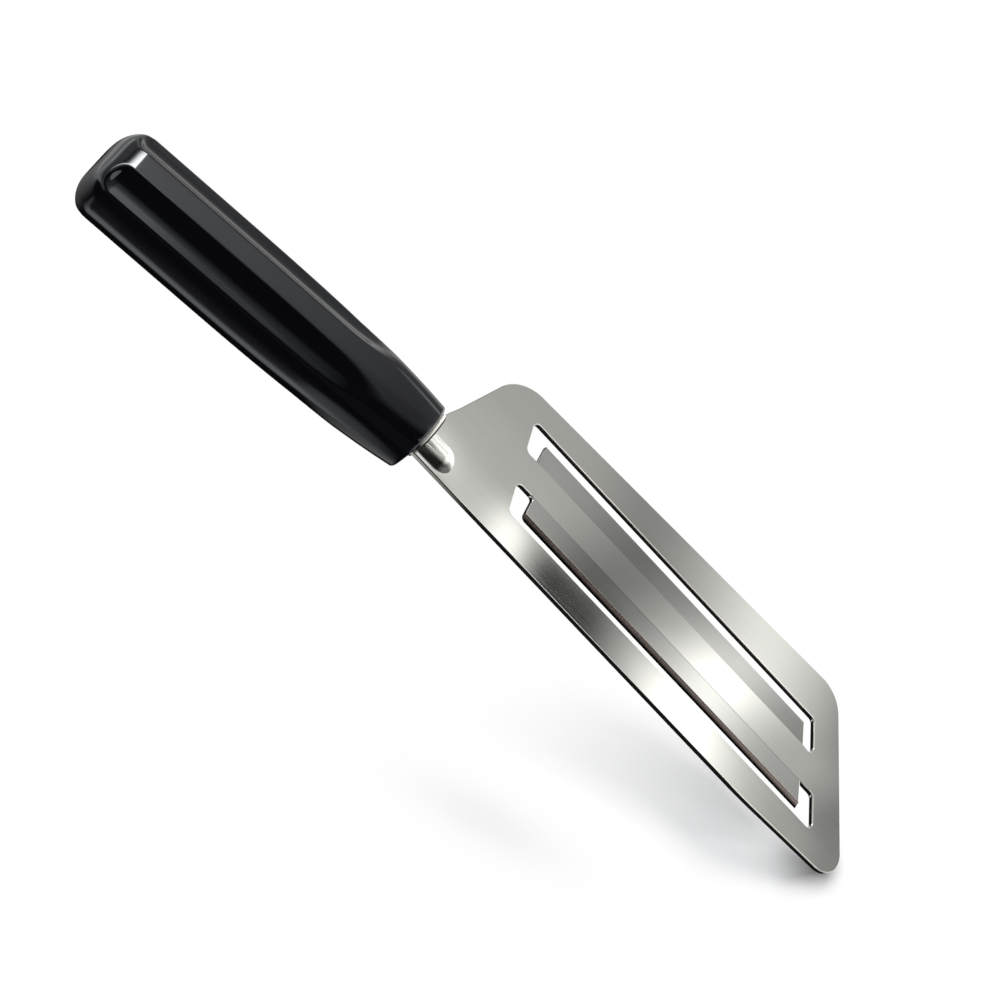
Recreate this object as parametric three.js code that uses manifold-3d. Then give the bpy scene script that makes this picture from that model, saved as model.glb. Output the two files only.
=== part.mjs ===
// Cabbage slicer: a slotted steel slicing plate with a moulded handle.
// Millimetres and degrees. Built along +X from handle to tip, +Y to the upper edge, +Z out of the top face.
import * as THREE from 'three';
import { mergeVertices } from 'three/addons/utils/BufferGeometryUtils.js';
import Module from 'manifold-3d';

// Sheet steel and the clearance between neighbouring pieces
const SHEET = 1.5;
const FIT = 0.2;

// Plate across, from the lower edge upwards
const LOWER_BAND = 11.3;
const SLOT = 2.9;
const WING = 8.2;
const STRIP_FLAT = 11.4;
const UPPER_BAND = 7.9;
const UPPER_RISE = 2.85;

// Sharpened wings of the strip
const WING_LIFT = 0.75;
const BEVEL_RUN = 1.4;
const WING_RADIUS = 1.4;
const LEG_RADIUS = 1.2;

// Plate along, measured on the handle's axis from the bend at the neck
const PLATE_LENGTH = 182.5;
const END_LEAN = 25.3;
const END_BAND = 13.3;
const FAR_WALL_LEAN = 23.4;
const FAR_LEG = 7;
const FAR_WING_LEAN = 19.8;
const NEAR_CORNER = 16.8;
const NEAR_BAND = 17.4;
const NEAR_WALL_LEAN = 10;
const NEAR_LEG = 5.8;
const TIP_RUN = 42.7;
const TIP_TURN = 3.6;

// Rounded corners and the hollow line of the neck
const TIP_RADIUS = 8;
const TURN_RADIUS = 200;
const FAR_RADIUS = 11;
const NEAR_RADIUS = 16;
const SLOT_RADIUS = 1.8;
const NECK_ROOT = 1;
const NECK_TOP = 14.2;
const SHOULDER_X = 5;
const SHOULDER_Y = 19.6;
const SHOULDER_RADIUS = 25;

// Tang, its pressed rib and its locking holes
const TANG_WIDTH = 12.6;
const RIB_WIDTH = 10;
const RIB_HEIGHT = 2.9;
const RIB_REACH = 12;
const LOCK_HOLE = 4;
const LOCK_PITCH = 24;
const LOCK_MARGIN = 12;

// Handle: length, full size, front size and how the two blend
const HANDLE_LENGTH = 116.4;
const HANDLE_WIDTH = 28.4;
const HANDLE_THICK = 20.4;
const FRONT_WIDTH = 22.4;
const FRONT_THICK = 17.6;
const TAPER_LENGTH = 80;
const TAPER_POWER = 3;
const BODY_SQUARENESS = 4;
const FRONT_SQUARENESS = 2.6;
const FRONT_ROUND = 1.6;
const BUTT_ROUND = 8.2;
const END_SLANT = 5.5;
const BUTT_SOLID = 42;
const HANDLE_DROP = 7.5;

// Shoulder flutes of the handle
const FACET_WIDTH = 8.5;
const FLUTE_SIDE = 0.9;
const FLUTE_DROP = 3.3;
const FLUTE_DEPTH = 1.2;
const FLUTE_BUTT = 7.5;
const FLUTE_SCOOP = 7;
const FLUTE_FRONT = 38;
const FLUTE_RUNOUT = 33;

// Front collar, set towards the broad side of the neck
const COLLAR = 1.8;
const COLLAR_WIDTH = 16.9;
const COLLAR_THICK = 12.8;
const COLLAR_SHIFT = 1.45;

// Working allowances: run past a face before a cut, bite of two joined bodies, room of a cutting block
const PAST = 2;
const BITE = 0.02;
const ROOM = 100;

// Smoothness of curves
const ARC_STEPS = 16;
const RIB_STEPS = 48;
const HANDLE_SIDES = 64;
const TAPER_STEPS = 12;
const TAPER_CROWDING = 1.5;
const EDGE_STEPS = 5;
const FLUTE_STEPS = 48;

const rad = THREE.MathUtils.degToRad;
const wasm = await Module();
wasm.setup();

// Solid body of a closed geometry
function solidOf(geometry) {
  const bare = geometry.clone();
  bare.deleteAttribute('normal');
  bare.deleteAttribute('uv');
  const merged = mergeVertices(bare);
  const corners = merged.index.array;
  const kept = [];
  for (let i = 0; i < corners.length; i += 3) {
    const [a, b, c] = [corners[i], corners[i + 1], corners[i + 2]];
    if (a !== b && b !== c && c !== a) kept.push(a, b, c);
  }
  const vertProperties = merged.attributes.position.array;
  return new wasm.Manifold(
    new wasm.Mesh({ numProp: 3, vertProperties, triVerts: new Uint32Array(kept) }));
}

// Geometry of a solid body
function geometryOf(solid) {
  const mesh = solid.getMesh();
  const geometry = new THREE.BufferGeometry();
  geometry.setAttribute('position', new THREE.BufferAttribute(mesh.vertProperties, 3));
  geometry.setIndex(new THREE.BufferAttribute(mesh.triVerts, 1));
  geometry.computeVertexNormals();
  return geometry;
}

// Block between two corners
function block(low, high) {
  const size = high.map((value, i) => value - low[i]);
  const middle = high.map((value, i) => (value + low[i]) / 2);
  return new THREE.BoxGeometry(...size).translate(...middle);
}

// Round bar along X
function bar(radius, from, to) {
  const length = to - from;
  const geometry = new THREE.CylinderGeometry(radius, radius, length, RIB_STEPS);
  return geometry.rotateZ(-Math.PI / 2).translate((from + to) / 2, 0, 0);
}

// Closed outline of straight runs whose corners are given as x, y, radius
function outline(corners) {
  const shape = new THREE.Shape();
  corners.forEach(([x, y, radius], i) => {
    const [backX, backY] = corners.at(i - 1);
    const [nextX, nextY] = corners[(i + 1) % corners.length];
    const corner = new THREE.Vector2(x, y);
    const back = new THREE.Vector2(backX, backY).sub(corner).normalize();
    const next = new THREE.Vector2(nextX, nextY).sub(corner).normalize();
    const half = Math.acos(THREE.MathUtils.clamp(back.dot(next), -1, 1)) / 2;
    const run = radius / Math.tan(half);
    const start = corner.clone().addScaledVector(back, run);
    const end = corner.clone().addScaledVector(next, run);
    const inward = back.clone().add(next).normalize();
    const centre = corner.clone().addScaledVector(inward, radius / Math.sin(half));
    const from = start.clone().sub(centre).angle();
    const to = end.clone().sub(centre).angle();
    if (i === 0) shape.moveTo(start.x, start.y);
    else shape.lineTo(start.x, start.y);
    if (radius > 0) shape.absarc(centre.x, centre.y, radius, from, to, back.cross(next) > 0);
  });
  return shape;
}

// Flat shape raised evenly about the middle plane
function raise(shape, thickness) {
  const settings = { depth: thickness, bevelEnabled: false, curveSegments: ARC_STEPS };
  return new THREE.ExtrudeGeometry(shape, settings).translate(0, 0, -thickness / 2);
}

// Section in Y and Z carried along X
function carry(points, from, to) {
  const shape = new THREE.Shape(points.map(([y, z]) => new THREE.Vector2(y, z)));
  const geometry = new THREE.ExtrudeGeometry(shape, { depth: to - from, bevelEnabled: false });
  const turn = new THREE.Matrix4().makeBasis(
    new THREE.Vector3(0, 1, 0), new THREE.Vector3(0, 0, 1), new THREE.Vector3(1, 0, 0));
  return geometry.applyMatrix4(turn).translate(from, 0, 0);
}

// Lines across the plate, each giving x at a height y
const leaning = (x, lean) => (y) => x - y * Math.tan(rad(lean));
const farWallAt = PLATE_LENGTH - END_BAND;
const nearWallAt = NEAR_CORNER + NEAR_BAND;
const endEdge = leaning(PLATE_LENGTH, END_LEAN);
const farWall = leaning(farWallAt, FAR_WALL_LEAN);
const farWing = leaning(farWallAt - FAR_LEG, FAR_WING_LEAN);
const nearWall = leaning(nearWallAt, NEAR_WALL_LEAN);

// Lines along the plate, from the lower edge upwards
const lowerEdge = -TANG_WIDTH / 2;
const lowerSlot = lowerEdge + LOWER_BAND;
const lowerCrease = lowerSlot + SLOT + WING;
const upperCrease = lowerCrease + STRIP_FLAT;
const upperSlot = upperCrease + WING + SLOT;
const upperStart = upperSlot + UPPER_BAND;
const upperEdge = (x) => upperStart + x * Math.tan(rad(UPPER_RISE));
const stripMiddle = (lowerCrease + upperCrease) / 2;

// Lean of the handle's ends and of the neck's root beside them
const endSlant = Math.tan(rad(END_SLANT));
const slanted = new THREE.Matrix4().makeShear(0, 0, endSlant, 0, 0, 0);
const neckRoot = (y) => NECK_ROOT + y * endSlant;

// Height at which a line that rises from a point meets the leaning end edge
function meetEnd(x, y, degrees) {
  const rise = Math.tan(rad(degrees));
  return (y + rise * (PLATE_LENGTH - x)) / (1 + rise * Math.tan(rad(END_LEAN)));
}
const farTop = meetEnd(0, upperStart, UPPER_RISE);
const tipTurnAt = PLATE_LENGTH - TIP_RUN;
const tipLow = meetEnd(tipTurnAt, lowerEdge, TIP_TURN);

// Opening that holds a slot, its two end legs and the wing beside it
function slotOpening(inner, outer) {
  return outline([
    [nearWall(inner), inner, SLOT_RADIUS],
    [farWall(inner), inner, SLOT_RADIUS],
    [farWall(outer), outer, SLOT_RADIUS],
    [nearWall(outer), outer, SLOT_RADIUS],
  ]);
}

// Flat sheet with both openings, running a little past the bend
function flatSheet() {
  const shape = outline([
    [-PAST, lowerEdge, 0],
    [tipTurnAt, lowerEdge, TURN_RADIUS],
    [endEdge(tipLow), tipLow, TIP_RADIUS],
    [endEdge(farTop), farTop, FAR_RADIUS],
    [NEAR_CORNER, upperEdge(NEAR_CORNER), NEAR_RADIUS],
    [SHOULDER_X, SHOULDER_Y, SHOULDER_RADIUS],
    [neckRoot(NECK_TOP), NECK_TOP, 0],
    [neckRoot(TANG_WIDTH / 2), TANG_WIDTH / 2, 0],
    [-PAST, TANG_WIDTH / 2, 0],
  ]);
  shape.holes.push(slotOpening(lowerCrease, lowerSlot), slotOpening(upperCrease, upperSlot));
  return solidOf(raise(shape, SHEET));
}

// Strip between the slots: flat middle, both wings bent up and ground to an edge on the underside
function cuttingStrip() {
  const half = SHEET / 2;
  const lift = rad(WING_LIFT);
  const fold = half * Math.tan(lift / 2);
  const flat = STRIP_FLAT / 2;
  const wingAt = (out, up) => [
    flat + out * Math.cos(lift) - up * Math.sin(lift),
    out * Math.sin(lift) + up * Math.cos(lift),
  ];
  const upper = [
    [flat + fold, -half],
    wingAt(WING, -half),
    wingAt(WING - BEVEL_RUN, half),
    [flat - fold, half],
  ];
  const lower = upper.map(([y, z]) => [-y, z]).reverse();
  const section = [...upper, ...lower].map(([y, z]) => [stripMiddle + y, z]);
  const lowerNear = nearWall((lowerSlot + lowerCrease) / 2) + NEAR_LEG;
  const upperNear = nearWall((upperSlot + upperCrease) / 2) + NEAR_LEG;
  const lowerTip = lowerCrease - WING;
  const upperTip = upperCrease + WING;
  const plan = outline([
    [nearWallAt, lowerCrease, 0],
    [lowerNear, lowerCrease, LEG_RADIUS],
    [lowerNear, lowerTip, WING_RADIUS],
    [farWing(lowerTip), lowerTip, 0],
    [farWing(upperTip), upperTip, 0],
    [upperNear, upperTip, WING_RADIUS],
    [upperNear, upperCrease, 0],
    [nearWall(upperCrease), upperCrease, 0],
  ]);
  const length = solidOf(carry(section, 0, PLATE_LENGTH));
  return length.intersect(solidOf(raise(plan, 2 * (SHEET + WING))));
}

// Half-round rib standing on the sheet's underside plane, with a round end ahead where one is asked for
function rib(halfWidth, height, from, to, roundEnd) {
  const base = -SHEET / 2;
  const shaft = bar(halfWidth, from, to).scale(1, 1, height / halfWidth).translate(0, 0, base);
  let body = solidOf(shaft);
  if (roundEnd) {
    const ball = new THREE.SphereGeometry(halfWidth, RIB_STEPS, RIB_STEPS / 2).rotateX(Math.PI / 2);
    body = body.add(solidOf(ball.scale(1, 1, height / halfWidth).translate(to, 0, base)));
  }
  const under = block([from - ROOM, -ROOM, base - ROOM], [to + ROOM, ROOM, base]);
  return body.subtract(solidOf(under));
}

// Tang along the handle's axis: strip with rib, larger all round by the given amount
const collarFront = NECK_ROOT - FIT;
const collarBack = collarFront - COLLAR;
const handleFront = collarBack - FIT;
const tangEnd = handleFront - HANDLE_LENGTH + BUTT_SOLID;
const ribHalf = RIB_WIDTH / 2;
const ribOuter = RIB_HEIGHT + SHEET;
const hollowHalf = ribHalf - SHEET;

function tangBody(more) {
  const side = TANG_WIDTH / 2 + more;
  const face = SHEET / 2 + more;
  const strip = solidOf(block([tangEnd - more, -side, -face], [PAST, side, face]));
  return strip.add(rib(ribHalf + more, ribOuter + more, tangEnd - more, PAST, false));
}

// Hollow under the tang's rib, open at both ends
function tangHollow(less) {
  return rib(hollowHalf - less, RIB_HEIGHT - less, tangEnd - PAST, 2 * PAST, false);
}

// Round posts through the tang's crown, as many as fit between its end and the handle's front
function lockPosts(less) {
  const radius = LOCK_HOLE / 2 - less;
  const posts = [];
  for (let x = tangEnd + LOCK_MARGIN; x < handleFront - LOCK_MARGIN; x += LOCK_PITCH) {
    const post = new THREE.CylinderGeometry(radius, radius, 2 * ribOuter, RIB_STEPS);
    posts.push(solidOf(post.rotateX(Math.PI / 2).translate(x, 0, 0)));
  }
  return posts;
}

// Slicing plate: flat sheet, strip, neck rib and the tang bent away at the neck
function slicingPlate() {
  const bend = rad(HANDLE_DROP);
  const mitre = (from, to) =>
    solidOf(block([from, -ROOM, -ROOM], [to, ROOM, ROOM]).rotateY(-bend / 2));
  const neckRib = rib(ribHalf, ribOuter, -PAST, RIB_REACH - ribHalf, true);
  const neckHollow = rib(hollowHalf, RIB_HEIGHT, -2 * PAST, RIB_REACH - ribHalf, true);
  const sheet = flatSheet().add(cuttingStrip()).add(neckRib).subtract(neckHollow);
  let tang = tangBody(0).subtract(tangHollow(0));
  for (const hole of lockPosts(0)) tang = tang.subtract(hole);
  const bent = solidOf(geometryOf(tang).rotateY(-bend));
  const ahead = sheet.subtract(mitre(-ROOM, 0));
  return ahead.add(bent.subtract(mitre(BITE, ROOM)));
}

// Rounded oblong ring across the handle's axis
function oval(x, halfWidth, halfThick, squareness) {
  const power = 2 / squareness;
  const ring = [];
  for (let i = 0; i < HANDLE_SIDES; i += 1) {
    const angle = (i / HANDLE_SIDES) * 2 * Math.PI;
    const [c, s] = [Math.cos(angle), Math.sin(angle)];
    const y = halfWidth * Math.sign(c) * Math.abs(c) ** power;
    const z = halfThick * Math.sign(s) * Math.abs(s) ** power;
    ring.push(new THREE.Vector3(x, y, z));
  }
  return ring;
}

// Section ring of the handle, larger and squarer towards the butt
function ringAt(x, inset) {
  const along = Math.min(1, -x / TAPER_LENGTH);
  const full = 1 - (1 - along) ** TAPER_POWER;
  const width = THREE.MathUtils.lerp(FRONT_WIDTH, HANDLE_WIDTH, full);
  const thick = THREE.MathUtils.lerp(FRONT_THICK, HANDLE_THICK, full);
  const squareness = THREE.MathUtils.lerp(FRONT_SQUARENESS, BODY_SQUARENESS, full);
  return oval(x, width / 2 - inset, thick / 2 - inset, squareness);
}

// Closed skin through rings that run from front to butt
function skin(rings) {
  const middle = (ring) => ring.reduce((sum, point) => sum.add(point), new THREE.Vector3())
    .divideScalar(ring.length);
  const sides = rings[0].length;
  const points = [...rings.flat(), middle(rings[0]), middle(rings.at(-1))];
  const faces = [];
  for (let j = 0; j < sides; j += 1) {
    const k = (j + 1) % sides;
    for (let i = 0; i + 1 < rings.length; i += 1) {
      const near = i * sides;
      const far = near + sides;
      faces.push(near + j, far + j, near + k, near + k, far + j, far + k);
    }
    const last = (rings.length - 1) * sides;
    faces.push(points.length - 2, j, k, points.length - 1, last + k, last + j);
  }
  return new THREE.BufferGeometry().setFromPoints(points).setIndex(faces);
}

// Handle blank with its rounded front edge and butt
function handleBlank() {
  const rings = [];
  for (let i = 0; i < EDGE_STEPS; i += 1) {
    const angle = (i / EDGE_STEPS) * (Math.PI / 2);
    rings.push(ringAt(FRONT_ROUND * (Math.cos(angle) - 1), FRONT_ROUND * (1 - Math.sin(angle))));
  }
  const back = HANDLE_LENGTH - BUTT_ROUND;
  for (let i = 0; i <= TAPER_STEPS; i += 1) {
    const along = (i / TAPER_STEPS) ** TAPER_CROWDING;
    rings.push(ringAt(THREE.MathUtils.lerp(-FRONT_ROUND, -back, along), 0));
  }
  for (let i = 1; i <= EDGE_STEPS; i += 1) {
    const angle = (i / EDGE_STEPS) * (Math.PI / 2);
    rings.push(ringAt(-back - BUTT_ROUND * Math.sin(angle), BUTT_ROUND * (1 - Math.cos(angle))));
  }
  return solidOf(skin(rings));
}

// Flute cutter on one shoulder: a round bar with a short scooped end and a long run-out end
function fluteCutter(sideY, sideZ) {
  const inner = new THREE.Vector2(FACET_WIDTH / 2, HANDLE_THICK / 2);
  const outer = new THREE.Vector2(HANDLE_WIDTH / 2 - FLUTE_SIDE, HANDLE_THICK / 2 - FLUTE_DROP);
  const chord = outer.clone().sub(inner);
  const radius = (chord.lengthSq() / 4 + FLUTE_DEPTH ** 2) / (2 * FLUTE_DEPTH);
  const outward = new THREE.Vector2(-chord.y, chord.x).normalize();
  const centre = inner.clone().add(outer).multiplyScalar(0.5);
  centre.addScaledVector(outward, radius - FLUTE_DEPTH);
  const from = FLUTE_BUTT - HANDLE_LENGTH;
  const profile = [];
  for (let i = 0; i <= ARC_STEPS; i += 1) {
    const angle = (i / ARC_STEPS) * (Math.PI / 2);
    profile.push(new THREE.Vector2(radius * Math.sin(angle), from - FLUTE_SCOOP * Math.cos(angle)));
  }
  for (let i = ARC_STEPS; i >= 0; i -= 1) {
    const angle = (i / ARC_STEPS) * (Math.PI / 2);
    profile.push(new THREE.Vector2(radius * Math.sin(angle), FLUTE_RUNOUT * Math.cos(angle) - FLUTE_FRONT));
  }
  const cutter = new THREE.LatheGeometry(profile, FLUTE_STEPS).rotateZ(-Math.PI / 2);
  return solidOf(cutter.translate(0, sideY * centre.x, sideZ * centre.y));
}

// Handle: fluted blank with a socket that fits the tang and posts through its holes
function handle() {
  let body = handleBlank();
  for (const sideY of [-1, 1]) {
    for (const sideZ of [-1, 1]) body = body.subtract(fluteCutter(sideY, sideZ));
  }
  let socket = tangBody(FIT).subtract(tangHollow(FIT));
  for (const post of lockPosts(FIT)) socket = socket.subtract(post);
  const placed = solidOf(geometryOf(body).applyMatrix4(slanted).translate(handleFront, 0, 0));
  return placed.subtract(socket);
}

// Front collar: thin oval washer on the handle's front, open for the tang
function frontCollar() {
  const rim = oval(0, COLLAR_WIDTH / 2, COLLAR_THICK / 2, FRONT_SQUARENESS);
  const ring = rim.map(({ y, z }) => [y + COLLAR_SHIFT, z]);
  const disc = solidOf(carry(ring, collarBack, collarFront).applyMatrix4(slanted));
  return disc.subtract(tangBody(FIT));
}

// Finished piece as a named mesh
function piece(name, solid, color, roughness, metalness) {
  const material = new THREE.MeshStandardMaterial({ color, roughness, metalness });
  const mesh = new THREE.Mesh(geometryOf(solid), material);
  mesh.name = name;
  return mesh;
}

const grip = new THREE.Group();
grip.name = 'grip';
grip.rotation.y = -rad(HANDLE_DROP);
grip.add(
  piece('handle', handle(), 0x17181a, 0.38, 0),
  piece('front_collar', frontCollar(), 0xd6d5d1, 0.2, 1),
);

const assembly = new THREE.Group();
assembly.name = 'assembly';
assembly.add(piece('slicing_plate', slicingPlate(), 0xbfbdb8, 0.26, 1), grip);

// Origin under the middle of the whole slicer, at its lowest point
assembly.updateMatrixWorld(true);
const bounds = new THREE.Box3().setFromObject(assembly, true);
const middle = bounds.getCenter(new THREE.Vector3());
assembly.position.set(-middle.x, -middle.y, -bounds.min.z);

const slicer = new THREE.Group();
slicer.name = 'cabbage_slicer';
slicer.add(assembly);

export default slicer;
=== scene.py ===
"""Cabbage slicer: steel plate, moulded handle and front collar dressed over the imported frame."""

import bmesh
import bpy
import numpy as np
from mathutils import Matrix, Vector


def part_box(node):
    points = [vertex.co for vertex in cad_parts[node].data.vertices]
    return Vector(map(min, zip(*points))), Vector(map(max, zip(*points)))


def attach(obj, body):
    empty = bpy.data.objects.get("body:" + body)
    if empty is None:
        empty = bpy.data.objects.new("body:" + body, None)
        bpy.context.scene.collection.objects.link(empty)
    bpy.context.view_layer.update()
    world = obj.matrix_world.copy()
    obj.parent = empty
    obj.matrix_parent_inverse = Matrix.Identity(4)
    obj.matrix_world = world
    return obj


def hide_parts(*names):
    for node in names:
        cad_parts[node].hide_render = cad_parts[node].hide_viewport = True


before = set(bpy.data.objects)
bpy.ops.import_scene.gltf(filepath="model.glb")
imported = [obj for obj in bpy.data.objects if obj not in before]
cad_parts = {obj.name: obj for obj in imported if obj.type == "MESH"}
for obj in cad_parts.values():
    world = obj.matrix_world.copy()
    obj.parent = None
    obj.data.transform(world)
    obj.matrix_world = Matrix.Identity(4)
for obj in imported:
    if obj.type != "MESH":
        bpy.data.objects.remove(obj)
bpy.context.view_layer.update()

bl_info = {
    "name": "Cabbage slicer",
    "version": (1, 0, 0),
    "blender": (4, 5, 0),
    "location": "View3D > Sidebar > Slicer",
    "description": "Builds the looks of a slotted cabbage slicer over its packed frame",
    "category": "Object",
}

MM = 0.001


# ---------------------------------------------------------------- settings


class PlateSettings(bpy.types.PropertyGroup):
    """Sheet steel of the slicing plate."""

    edge: bpy.props.FloatProperty(
        name="Edge rounding", description="Width of the tumbled rounding along every cut edge",
        default=0.32 * MM, min=0.0, unit="LENGTH")
    edge_steps: bpy.props.IntProperty(
        name="Edge steps", description="Facets across the rounding", default=4, min=1, max=6)
    colour: bpy.props.FloatVectorProperty(
        name="Steel", description="Colour of the rolled sheet",
        default=(0.62, 0.617, 0.58), subtype="COLOR", min=0.0, max=1.0)
    ground: bpy.props.FloatVectorProperty(
        name="Ground steel", description="Colour of the ground cutting bevels",
        default=(0.92, 0.76, 0.69), subtype="COLOR", min=0.0, max=1.0)
    honed: bpy.props.FloatVectorProperty(
        name="Honed steel", description="Colour of the honed wing faces",
        default=(0.51, 0.507, 0.48), subtype="COLOR", min=0.0, max=1.0)
    roughness: bpy.props.FloatProperty(
        name="Roughness", description="Mean roughness of the rolled faces",
        default=0.08, min=0.0, max=1.0, subtype="FACTOR")


class HandleSettings(bpy.types.PropertyGroup):
    """Moulded handle, measured along its own axis from its front face."""

    seat: bpy.props.FloatVectorProperty(
        name="Seat", description="Where the handle's axis crosses the bend of the neck",
        default=(-31.2507 * MM, -19.8772 * MM, 24.4228 * MM), subtype="TRANSLATION", unit="LENGTH")
    drop: bpy.props.FloatProperty(
        name="Drop", description="Fall of the handle's axis below the plate",
        default=np.radians(7.5), subtype="ANGLE", unit="ROTATION")
    setback: bpy.props.FloatProperty(
        name="Setback", description="Front face behind the bend of the neck",
        default=1.2 * MM, unit="LENGTH")
    length: bpy.props.FloatProperty(
        name="Length", description="Front face to butt", default=116.4 * MM, unit="LENGTH")
    width: bpy.props.FloatProperty(
        name="Width", description="Full width of the grip", default=28.4 * MM, unit="LENGTH")
    thick: bpy.props.FloatProperty(
        name="Thickness", description="Full thickness of the grip", default=20.4 * MM, unit="LENGTH")
    front_width: bpy.props.FloatProperty(
        name="Front width", description="Width at the front face", default=22.4 * MM, unit="LENGTH")
    front_thick: bpy.props.FloatProperty(
        name="Front thickness", description="Thickness at the front face",
        default=17.6 * MM, unit="LENGTH")
    taper: bpy.props.FloatProperty(
        name="Taper", description="Run over which the front swells to the full section",
        default=80 * MM, unit="LENGTH")
    body_square: bpy.props.FloatProperty(
        name="Grip squareness", description="Exponent of the oval section at the butt", default=4.0)
    front_square: bpy.props.FloatProperty(
        name="Front squareness", description="Exponent of the oval section at the front", default=2.6)
    front_round: bpy.props.FloatProperty(
        name="Front rounding", description="Radius of the front rim", default=0.9 * MM, unit="LENGTH")
    butt_round: bpy.props.FloatProperty(
        name="Butt rounding", description="Radius of the butt's rim", default=8.2 * MM, unit="LENGTH")
    slant: bpy.props.FloatProperty(
        name="End slant", description="Lean of both end faces across the width",
        default=np.radians(5.5), subtype="ANGLE", unit="ROTATION")
    facet: bpy.props.FloatProperty(
        name="Facet", description="Width of the flat ridge between two flutes",
        default=8.5 * MM, unit="LENGTH")
    flute_side: bpy.props.FloatProperty(
        name="Flute side", description="Flute's outer edge in from the side",
        default=0.9 * MM, unit="LENGTH")
    flute_drop: bpy.props.FloatProperty(
        name="Flute drop", description="Flute's outer edge below the facet",
        default=3.3 * MM, unit="LENGTH")
    flute_depth: bpy.props.FloatProperty(
        name="Flute depth", description="Hollow of a flute under its chord",
        default=1.2 * MM, unit="LENGTH")
    flute_butt: bpy.props.FloatProperty(
        name="Flute to butt", description="Full flute's end in from the butt",
        default=7.5 * MM, unit="LENGTH")
    flute_scoop: bpy.props.FloatProperty(
        name="Scoop", description="Length of the scooped end at the butt",
        default=7.0 * MM, unit="LENGTH")
    flute_front: bpy.props.FloatProperty(
        name="Flute to front", description="Full flute's end behind the front face",
        default=38 * MM, unit="LENGTH")
    flute_runout: bpy.props.FloatProperty(
        name="Run-out", description="Length over which a flute fades towards the front",
        default=33 * MM, unit="LENGTH")
    softness: bpy.props.FloatProperty(
        name="Softness", description="Rounding of the moulded ridges beside the flutes",
        default=0.6 * MM, unit="LENGTH")
    melt: bpy.props.FloatProperty(
        name="Melt", description="Rounding where a flute fades into the side and at its ends",
        default=2.6 * MM, unit="LENGTH")
    colour: bpy.props.FloatVectorProperty(
        name="Plastic", description="Colour of the moulded plastic",
        default=(0.0026, 0.0028, 0.0037), subtype="COLOR", min=0.0, max=1.0)
    roughness: bpy.props.FloatProperty(
        name="Roughness", description="Mean roughness of the plastic",
        default=0.085, min=0.0, max=1.0, subtype="FACTOR")


class CollarSettings(bpy.types.PropertyGroup):
    """Bright collar between the handle and the neck."""

    width: bpy.props.FloatProperty(
        name="Width", description="Full width of the band", default=15.4 * MM, unit="LENGTH")
    thick: bpy.props.FloatProperty(
        name="Thickness", description="Full thickness of the band", default=13.2 * MM, unit="LENGTH")
    shift: bpy.props.FloatProperty(
        name="Shift", description="Band's middle off the handle's axis towards the upper edge",
        default=2.6 * MM, unit="LENGTH")
    reach: bpy.props.FloatProperty(
        name="Reach", description="Collar's front ahead of the handle's front face",
        default=1.8 * MM, unit="LENGTH")
    groove: bpy.props.FloatProperty(
        name="Groove", description="Depth of the seat either side of the band",
        default=0.4 * MM, unit="LENGTH")
    colour: bpy.props.FloatVectorProperty(
        name="Bright steel", description="Colour of the bright collar",
        default=(0.92, 0.89, 0.83), subtype="COLOR", min=0.0, max=1.0)


class StageSettings(bpy.types.PropertyGroup):
    """Floor, lamps and camera."""

    aim: bpy.props.FloatVectorProperty(
        name="Aim", description="Point in the middle of the picture",
        default=(-6.203 * MM, -23.243 * MM, 33.572 * MM), subtype="TRANSLATION", unit="LENGTH")
    distance: bpy.props.FloatProperty(
        name="Distance", description="Camera to the aim", default=1.2, unit="LENGTH")
    lens: bpy.props.FloatProperty(
        name="Lens", description="Focal length on a 36 mm sensor", default=157.25, unit="CAMERA")
    tilt: bpy.props.FloatProperty(
        name="Floor tilt", description="Fall of the floor from the tip towards the handle",
        default=np.radians(26.0), subtype="ANGLE", unit="ROTATION")


# ---------------------------------------------------------------- shader maths


class Value:
    """A shader socket; arithmetic on it adds Math nodes to its tree."""

    def __init__(self, tree, socket):
        self.tree = tree
        self.socket = socket

    def maths(self, operation, *terms, clamp=False):
        sockets = dict(enumerate(terms))
        return self.tree.node("Math", {"operation": operation, "use_clamp": clamp}, sockets)

    def __add__(self, other):
        return self.maths("ADD", self, other)

    def __sub__(self, other):
        return self.maths("SUBTRACT", self, other)

    def __rsub__(self, other):
        return self.maths("SUBTRACT", other, self)

    def __mul__(self, other):
        return self.maths("MULTIPLY", self, other)

    def __truediv__(self, other):
        return self.maths("DIVIDE", self, other)

    __radd__ = __add__
    __rmul__ = __mul__

    def clamped(self):
        return self.maths("ADD", self, 0.0, clamp=True)

    def at_least(self, least):
        return self.maths("MAXIMUM", self, least)

    def swell(self, centre, width):
        """1 at the centre, falling away as a bell of the given width."""
        part = (self - centre) / width
        return self.maths("EXPONENT", part * part * -1.0)

    def rise(self, start, end):
        """0 before the start, 1 past the end, straight between."""
        return ((self - start) / (end - start)).clamped()


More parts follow.
